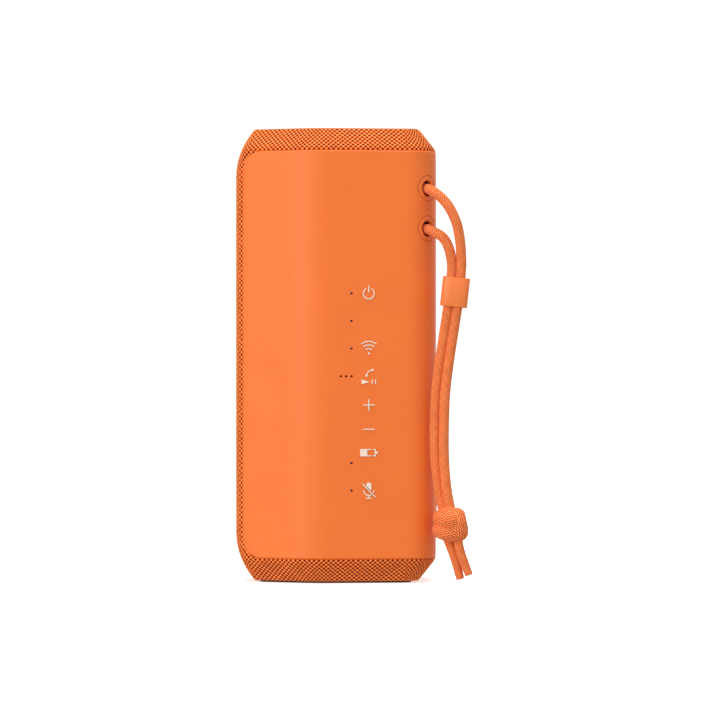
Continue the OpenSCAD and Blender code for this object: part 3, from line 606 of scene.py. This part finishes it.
def panel():
    """The rounded envelope, cut by the CAD panel's own holes."""
    verts, faces = panel_envelope()
    o = make("panel_shell", verts, faces, panel_mat)
    bm = bmesh.new()
    bm.from_mesh(o.data)
    bmesh.ops.recalc_face_normals(bm, faces=bm.faces)
    bm.to_mesh(o.data)
    bm.free()
    ref = o.data
    cut = NODES["control_panel"].copy()
    cut.data = NODES["control_panel"].data.copy()
    bpy.context.scene.collection.objects.link(cut)
    cut.matrix_world = NODES["control_panel"].matrix_world.copy()
    mod = o.modifiers.new("shape", "BOOLEAN")
    mod.operation, mod.solver, mod.object = "INTERSECT", "EXACT", cut
    deps = bpy.context.evaluated_depsgraph_get()
    me = bpy.data.meshes.new_from_object(o.evaluated_get(deps))
    o.modifiers.clear()
    o.data = me
    bpy.data.objects.remove(cut)
    me.materials.clear()
    me.materials.append(panel_mat)
    me.shade_smooth()
    follow_normals(me, ref)
    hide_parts("control_panel")


panel()

# ------------------------------------------------------------------ eyelets
EYELET_Z = (76.4, 57.9)
EYELET_ANGLE = -40
# the rounded corner that carries them
CORNER_C = CENTRES[0]
CORNER_R = 14.8


def on_corner(x, y, h, z0):
    """A point x round the corner and y up from an eyelet's centre, h above the panel."""
    a = math.radians(EYELET_ANGLE) + x / CORNER_R
    return (CORNER_C[0] + (CORNER_R + h) * math.cos(a), CORNER_C[1] + (CORNER_R + h) * math.sin(a),
            z0 + y + MID)


def grommet():
    """The eyelets' plastic: the panel's orange outside, with painted shade darkening it down the bore."""
    n = Nodes("eyelet_plastic")
    sep = n.new("ShaderNodeSeparateXYZ")
    n.link(n.new("ShaderNodeTexCoord").outputs["Object"], sep.inputs[0])
    dx = n.math("SUBTRACT", sep.outputs[0], CORNER_C[0] * MM)
    dy = n.math("SUBTRACT", sep.outputs[1], CORNER_C[1] * MM)
    out = n.math("SQRT", n.math("ADD", n.math("MULTIPLY", dx, dx), n.math("MULTIPLY", dy, dy)))
    # painted shade: darker the deeper the point lies in the bore
    depth = n.ramp(out, (CORNER_R - 2.4) * MM, (CORNER_R - 0.3) * MM)
    n.set(Base_Color=n.mix(depth, (0.05, 0.006, 0.002, 1), (0.9, 0.184, 0.027, 1)), Roughness=0.45)
    n.bump(n.noise(2500, 2), 0.2, 0.00008)
    return n.mat


eyelet_mat = grommet()


def eyelet(name, node, z0):
    # radius and height of the grommet's section, from the bore's depth out to the rim's foot
    line = [(3.5, -3.9), (3.5, -1.6), (3.53, -0.9), (3.62, -0.4), (3.85, -0.1), (4.2, 0.04), (4.6, 0.05),
            (5.0, -0.03), (5.35, -0.12), (5.6, -0.14), (5.8, -0.2), (5.88, -0.5), (5.9, -1.2)]
    seg = 72
    verts, faces = [], []
    for r, h in line:
        for s in range(seg):
            t = 2 * math.pi * s / seg
            verts.append(on_corner(r * math.cos(t), r * math.sin(t), h - 0.02, z0))
    for k in range(len(line) - 1):
        for s in range(seg):
            t = (s + 1) % seg
            faces.append((k * seg + s, (k + 1) * seg + s, (k + 1) * seg + t, k * seg + t))
    o = make(name, verts, faces, eyelet_mat)
    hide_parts(node)


eyelet("eyelet_ring_upper", "upper_eyelet", EYELET_Z[0])
eyelet("eyelet_ring_lower", "lower_eyelet", EYELET_Z[1])

# ------------------------------------------------------------------ strap
UPPER = [
    (39.9, -25.6, 76.5), (43.1, -28.4, 75.8), (45.9, -30.8, 74), (48.9, -32.7, 71.4),
    (51.5, -33.8, 68.2), (53.6, -34.3, 64.4), (55.4, -34.2, 60), (56.5, -33.6, 55.2),
    (57.2, -32.9, 49.8), (57.5, -32.2, 44.4), (57.5, -31.9, 39.4), (56.4, -31.9, 26.6),
    (54.5, -31.9, 13.8), (52.5, -32, 1), (51.1, -32.3, -9), (50.1, -32.4, -18),
    (49.7, -32.4, -28), (49.5, -32.4, -39), (49.7, -32.5, -49), (50.3, -32.6, -57),
    (51.2, -32.6, -64), (52.6, -32.5, -71)]
LOWER = [
    (39.9, -25.6, 58), (43.1, -28.3, 57.3), (45.8, -30.2, 55.9), (48.2, -31.4, 54.5),
    (50.2, -31.9, 52.3), (51.7, -32, 49.2), (52.8, -31.7, 45), (53.3, -31.3, 39.4),
    (52.2, -31.3, 26.6), (50.3, -31.3, 13.8), (48.4, -31.1, 1), (46.9, -30.8, -9),
    (46, -30.6, -18), (45.5, -30.6, -28), (45.4, -30.6, -39), (45.8, -30.4, -49),
    (46.7, -30.1, -57), (47.7, -30.1, -64), (49.2, -30.8, -71)]
TAIL_LEFT = [(51, -30.9, -84), (54.3, -30.9, -92.5), (57.2, -31.1, -102.9)]
TAIL_RIGHT = [(55.6, -33.4, -83), (57.2, -33.5, -90.5), (61.1, -33.5, -100.9)]
KNOT_C = np.array([52.7, -32.4, -77.7])
CORD_D = 4.6
TAIL_R = 2.1     # the cut ends are stretched a little thinner


def smooth_line(points, step):
    """Catmull-Rom through the points, resampled to even steps."""
    p = np.array(points, float)
    p = np.vstack([2 * p[0] - p[1], p, 2 * p[-1] - p[-2]])
    out = []
    for i in range(1, len(p) - 2):
        for t in np.linspace(0, 1, 24, endpoint=False):
            a, b, c, d = p[i - 1], p[i], p[i + 1], p[i + 2]
            out.append(0.5 * (2 * b + (c - a) * t + (2 * a - 5 * b + 4 * c - d) * t * t
                              + (3 * b - a - 3 * c + d) * t**3))
    out.append(p[-2])
    out = np.array(out)
    s = np.concatenate([[0], np.cumsum(np.linalg.norm(np.diff(out, axis=0), axis=1))])
    n = max(4, int(round(s[-1] / step)))
    t = np.linspace(0, s[-1], n + 1)
    return np.stack([np.interp(t, s, out[:, k]) for k in range(3)], -1), s[-1]


def frames(line):
    """Side and up directions along a line, carried without twist."""
    tan = np.gradient(line, axis=0)
    tan /= np.linalg.norm(tan, axis=1, keepdims=True)
    u = np.array([0.4, 1, 0])
    us = []
    for t in tan:
        u = u - t * np.dot(u, t)
        u /= np.linalg.norm(u)
        us.append(u.copy())
    us = np.array(us)
    return us, np.cross(tan, us)


STRAND = 1.13    # distance between neighbouring strands, round the cord and along it
# the braid's yarn colour, with a painted highlight on the crowns, painted shade on the flanks and painted
# shade between the strands
cord_mat = woven("braid", yarn=srgb(255, 126, 52), crown_highlight=srgb(255, 212, 140),
                 flank_shade=srgb(250, 54, 44), gap_shade=srgb(200, 4, 34), wide=0.3)


def braid_tube(name, points, radius, seal=0.0):
    """Tube with a two-way braid in its surface. seal is the length of a melted, tapered end."""
    strands = round(2 * math.pi * radius / STRAND)
    around = 4 * strands
    line, length = smooth_line(points, STRAND / 4)
    u, w = frames(line)
    n = len(line)
    s = np.linspace(0, length, n)[:, None]
    t = np.arange(around + 1)[None, :] / around
    a, b = strands * t + s / STRAND, strands * t - s / STRAND
    r = radius + 0.06 + 0.4 * weave_height(a, b, wide=0.44)[:, :around]
    if seal:
        taper = np.clip((s - (length - seal)) / seal, 0, 1)
        r = r * (1 - 0.13 * taper**1.5)
        tip = np.clip(1 - (length - s) / 0.5, 0, 1)
        r = r * np.sqrt(np.maximum(0.05, 1 - 0.35 * tip**2))
    ang = 2 * math.pi * t[:, :around]
    p = (line[:, None, :] + (r * np.cos(ang))[..., None] * u[:, None, :]
         + (r * np.sin(ang))[..., None] * w[:, None, :])
    verts = np.vstack([p.reshape(-1, 3), line[0], line[-1]]) + np.array([0, 0, MID])
    ab = np.stack([a, b, 0 * a], -1)
    faces, weave = [], []
    for k in range(n - 1):
        for j in range(around):
            j2 = (j + 1) % around
            faces.append((k * around + j, k * around + j2, (k + 1) * around + j2, (k + 1) * around + j))
            weave += [ab[k, j], ab[k, j + 1], ab[k + 1, j + 1], ab[k + 1, j]]
    for k, c in ((0, n * around), (n - 1, n * around + 1)):
        for j in range(around):
            f = (k * around + j, k * around + (j + 1) % around, c)
            faces.append(f if k else f[::-1])
            weave += [(0, 0, 0)] * 3
    o = make(name, verts, faces, cord_mat, np.array(weave))
    return o, line + np.array([0, 0, MID]), length


def knot():
    """A tight knot tied in both runs together, as the braided turns that show round the ball."""
    turns = [  # axis, centre, radius of the turn, radius of the cord pressed into it
        ((0.2, 0.05, 0.98), (-0.5, 0.2, 1.9), 3.4, 4.4),
        ((0.24, -0.1, 0.97), (-1.3, 0.2, -3.5), 3.5, 3.8),
        ((0.96, 0.0, 0.2), (3.5, 0.3, 0.7), 3.1, 3.9),
        ((0.9, 0.0, 0.5), (3.1, -0.4, -1.8), 2.3, 3.8),
        ((0.3, 0.1, 0.95), (0.9, 0.2, 4.2), 2.4, 3.4),
    ]
    parts = []
    for k, (axis, centre, turn_r, tube_r) in enumerate(turns):
        n = Vector(axis).normalized()
        back = Vector((0, 1, 0))
        x = (back - n * back.dot(n)).normalized()
        y = n.cross(x)
        t = np.linspace(0, 2 * math.pi, 41)[:, None]
        p = turn_r * (np.cos(t) * np.array(x) + np.sin(t) * np.array(y)) + np.array(centre) + KNOT_C
        o, _, _ = braid_tube(f"knot_turn_{k}", p, tube_r)
        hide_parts("strap_knot")
        parts.append(o)
    return parts


def tail(name, points):
    o, _, _ = braid_tube(name, points, TAIL_R, seal=12)
    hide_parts("strap_tails")
    return o


knot_parts = knot()
tails = [tail("tail_left", TAIL_LEFT), tail("tail_right", TAIL_RIGHT)]

keeper_mat = moulded("keeper_plastic", (0.97, 0.232, 0.046, 1), rough=0.45, grain=0.25, vary=0.02)
KEEPER_C = np.array([54.7, -31.6, 28.7])


def keeper():
    """A leaning oval sleeve, swept round from (inset from the outside, height) pairs."""
    half, w, d, wall, e = 6.8, 12.5, 7.7, 1.15, 0.35
    section = [(e, -half), (e * 0.3, -half + e * 0.3), (0, -half + e), (0, half - e),
               (e * 0.3, half - e * 0.3), (e, half), (wall - e * 0.6, half), (wall, half - e * 0.6),
               (wall, -half + e * 0.6), (wall - e * 0.6, -half)]
    verts, faces = [], []
    n = 72
    t = np.linspace(0, 2 * math.pi, n, endpoint=False)
    for inset, z in section:
        # the bore is squarer than the outside, and leaves the two cords room to slide
        bore = inset > wall / 2
        bend, wide, deep = (0.45, w / 2 + 0.2, d / 2 + 0.15) if bore else (0.62, w / 2, d / 2)
        x = (wide - inset) * np.sign(np.cos(t)) * np.abs(np.cos(t)) ** bend
        y = (deep - inset) * np.sign(np.sin(t)) * np.abs(np.sin(t)) ** bend
        verts += [(a, b, z) for a, b in zip(x, y)]
    m = len(section)
    for k in range(m):
        for j in range(n):
            a, b = k * n + j, k * n + (j + 1) % n
            c, dd = ((k + 1) % m) * n + (j + 1) % n, ((k + 1) % m) * n + j
            faces.append((a, b, c, dd))
    lean = math.radians(6.2)
    v = np.array(verts)
    x = v[:, 0] * math.cos(lean) + v[:, 2] * math.sin(lean)
    z = -v[:, 0] * math.sin(lean) + v[:, 2] * math.cos(lean)
    v = np.stack([x, v[:, 1], z], -1) + KEEPER_C + np.array([0, 0, MID])
    o = make("keeper_sleeve", v, faces, keeper_mat, body="strap_keeper")
    o.data.set_sharp_from_angle(angle=math.radians(40))
    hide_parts("strap_keeper")
    return o


keeper_obj = keeper()
for name, pts, node in (("cord_upper", UPPER, "strap_cord_upper"), ("cord_lower", LOWER, "strap_cord_lower")):
    o, line, length = braid_tube(name, pts, CORD_D / 2)
    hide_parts(node)
INNER = [(3.5, 76.5), (6.3, 76.6), (8.3, 75.8), (9.6, 73.8), (10, 70.6), (10, 67.2), (10, 63.9), (9.6, 60.7),
         (8.3, 58.8), (6.3, 58.1), (3.5, 58)]     # depth below the panel's face, height
o, _, _ = braid_tube("cord_inner", [on_corner(0, z - MID, -d, 0) for d, z in INNER], CORD_D / 2)
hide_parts("strap_cord_inner")

# ------------------------------------------------------------------ finishes for the other CAD pieces
rgb = lambda *c: (*c, 1)
ROW_Z = -9.85    # height of the row of three


def lens():
    """Smoked lens: blue-black where it stands alone, red-brown in the row of three."""
    n = Nodes("lens_plastic")
    sep = n.new("ShaderNodeSeparateXYZ")
    n.link(n.new("ShaderNodeTexCoord").outputs["Object"], sep.inputs[0])
    off = n.math("ABSOLUTE", n.math("SUBTRACT", sep.outputs[2], (MID + ROW_Z) * MM))
    faint = n.math("MULTIPLY_ADD", n.noise(900, 2), 0.3, 0.85)
    col = n.mix(n.math("LESS_THAN", off, 0.002), srgb(0, 40, 74), srgb(96, 12, 4))
    shade = n.new("ShaderNodeCombineColor")
    for s in shade.inputs:
        n.link(faint, s)
    n.set(Base_Color=n.mix(1.0, col, shade.outputs[0], "MULTIPLY"), Roughness=0.45)
    n.bsdf.inputs["Specular IOR Level"].default_value = 0.15
    return n.mat


FINISH = {
    "frame_brown": moulded("frame_plastic", srgb(110, 44, 24), rough=0.55),
    "panel_orange": panel_mat,
    "mark_cream": moulded("mark_plastic", srgb(255, 232, 212), rough=0.5, grain=0.1, vary=0.02),
    "lens_dark": lens(),
    "foam_grey": moulded("foam", rgb(0.05, 0.05, 0.05), rough=0.85, grain=0.8, scale=1200),
    "board_green": moulded("solder_mask", rgb(0.01, 0.12, 0.04), rough=0.35, grain=0.1, vary=0.15,
                           scale=600),
    "switch_metal": metal("switch_metal", rgb(0.62, 0.62, 0.62), 0.28),
    "plastic_black": moulded("black_plastic", rgb(0.02, 0.02, 0.022), rough=0.5),
    "cap_orange": moulded("cap_rubber", srgb(236, 112, 56), rough=0.6, grain=0.3),
    "rubber_dark": moulded("foot_rubber", rgb(0.035, 0.022, 0.018), rough=0.75, grain=0.5),
    "screw_steel": metal("screw_steel", rgb(0.5, 0.5, 0.52), 0.3),
    "magnet_steel": metal("magnet_steel", rgb(0.45, 0.45, 0.46), 0.35),
    "cone_black": moulded("cone", rgb(0.02, 0.02, 0.022), rough=0.6, grain=0.6, scale=900),
    "surround_black": moulded("surround_rubber", rgb(0.015, 0.015, 0.015), rough=0.55),
    "spider_tan": moulded("spider_cloth", rgb(0.45, 0.26, 0.08), rough=0.8, grain=0.9, scale=1500),
    "diaphragm_grey": moulded("diaphragm", rgb(0.06, 0.06, 0.065), rough=0.4),
    "cell_blue": moulded("cell_wrap", rgb(0.03, 0.1, 0.4), rough=0.25, grain=0.05),
    "chip_grey": moulded("chip", rgb(0.06, 0.06, 0.065), rough=0.45),
    "keeper_orange": keeper_mat,
    "eyelet_orange": eyelet_mat,
    "cord_orange": cord_mat,
    "fabric_orange": fabric_mat,
}
SLOT_OF = {s["node"]: s["material_slot"] for s in frame["record"]["subparts"]}
for node, obj in NODES.items():
    mat = FINISH[SLOT_OF[node]]
    for k in range(len(obj.material_slots)):
        obj.material_slots[k].material = mat


# ------------------------------------------------------------------ trim ring round the port
ARC_POINTS = 10


def rounded_rect(w, h, r):
    """Points of a rounded rectangle, anticlockwise from its right side."""
    pts = []
    for cx, cy, a0 in ((w / 2 - r, h / 2 - r, 0), (r - w / 2, h / 2 - r, 90),
                       (r - w / 2, r - h / 2, 180), (w / 2 - r, r - h / 2, 270)):
        for k in range(ARC_POINTS):
            a = math.radians(a0 + 90 * k / (ARC_POINTS - 1))
            pts.append((cx + r * math.cos(a), cy + r * math.sin(a)))
    return pts


def port_ring():
    # how far out from the bezel's edge and how far above the skin, across the trim
    line = [(-0.9, -0.4), (-0.8, 0.15), (-0.45, 0.42), (0.1, 0.5), (0.6, 0.4), (0.9, 0.1), (1.0, -0.5)]
    side_r, corner_r = 180, 4
    verts, faces = [], []
    n = 4 * ARC_POINTS
    for out, h in line:
        for y, z in rounded_rect(PORT_W + 2 * out, PORT_H + 2 * out, corner_r + out):
            drop = side_r - math.sqrt(side_r**2 - y * y)
            verts.append((HALF_W + h - drop, y, z + PORT_Z + MID))
    for k in range(len(line) - 1):
        for j in range(n):
            j2 = (j + 1) % n
            faces.append((k * n + j, (k + 1) * n + j, (k + 1) * n + j2, k * n + j2))
    make("port_trim", verts, faces, panel_mat)


port_ring()

# ------------------------------------------------------------------ floor, light
floor_mat = Nodes("floor")
floor_mat.set(Base_Color=(0.95, 0.95, 0.95, 1), Roughness=0.9)
floor_mat.bsdf.inputs["Emission Color"].default_value = (1, 1, 1, 1)
floor_mat.bsdf.inputs["Emission Strength"].default_value = 0.5
me = bpy.data.meshes.new("floor")
me.from_pydata([(-6, -6, 0), (6, -6, 0), (6, 6, 0), (-6, 6, 0)], [], [(0, 1, 2, 3)])
me.materials.append(floor_mat.mat)
floor = bpy.data.objects.new("floor", me)
bpy.context.scene.collection.objects.link(floor)
floor.visible_diffuse = floor.visible_glossy = False


def area(name, loc, size, power, size_y=None, gloss=True):
    """A white area light that faces the middle of the speaker."""
    d = bpy.data.lights.new(name, "AREA")
    d.energy, d.size = power, size
    if size_y:
        d.shape, d.size_y = "RECTANGLE", size_y
    o = bpy.data.objects.new(name, d)
    o.location = loc
    o.rotation_euler = (Vector((0, 0, 0.1)) - o.location).to_track_quat("-Z", "Y").to_euler()
    o.visible_glossy = gloss
    bpy.context.scene.collection.objects.link(o)


area("key", (-1.2, -1.6, 0.5), 0.9, 20, size_y=1.5)
area("top", (0.05, -0.2, 2.7), 1.4, 40)
area("rim", (0.7, 1.2, 0.3), 0.4, 6, size_y=1.2, gloss=False)

world = bpy.data.worlds.new("world")
bpy.context.scene.world = world
world.use_nodes = True
wt = world.node_tree
bg = wt.nodes["Background"]


def wnode(kind, *values, **sets):
    n = wt.nodes.new(kind)
    for k, v in sets.items():
        setattr(n, k, v)
    for socket, v in zip(n.inputs, values):
        if isinstance(v, bpy.types.NodeSocket):
            wt.links.new(v, socket)
        else:
            socket.default_value = v
    return n.outputs


# soft room light: a little stronger from the left; plain white where it is seen
sky = wnode("ShaderNodeSeparateXYZ", wnode("ShaderNodeTexCoord")["Generated"])
glow = wnode("ShaderNodeMath", sky[0], -0.06, 0.64, operation="MULTIPLY_ADD")[0]
seen = wnode("ShaderNodeLightPath")["Is Camera Ray"]
both = wnode("ShaderNodeMath", seen, 0.5, glow, operation="MULTIPLY_ADD")[0]
wt.links.new(both, bg.inputs["Strength"])
# light that comes up off the floor is warmed by the object
up = wnode("ShaderNodeMapRange", sky[2], -0.95, -0.25, 0.0, 1.0, interpolation_type="SMOOTHSTEP")[0]
plain = wnode("ShaderNodeMath", up, seen, operation="MAXIMUM")[0]
green = wnode("ShaderNodeMath", plain, 0.16, 0.84, operation="MULTIPLY_ADD")[0]
blue = wnode("ShaderNodeMath", plain, 0.3, 0.7, operation="MULTIPLY_ADD")[0]
tint = wnode("ShaderNodeCombineColor", 1.0, green, blue)[0]
wt.links.new(tint, bg.inputs["Color"])
bpy.context.scene.view_settings.view_transform = "Standard"
bpy.context.scene.view_settings.look = "None"
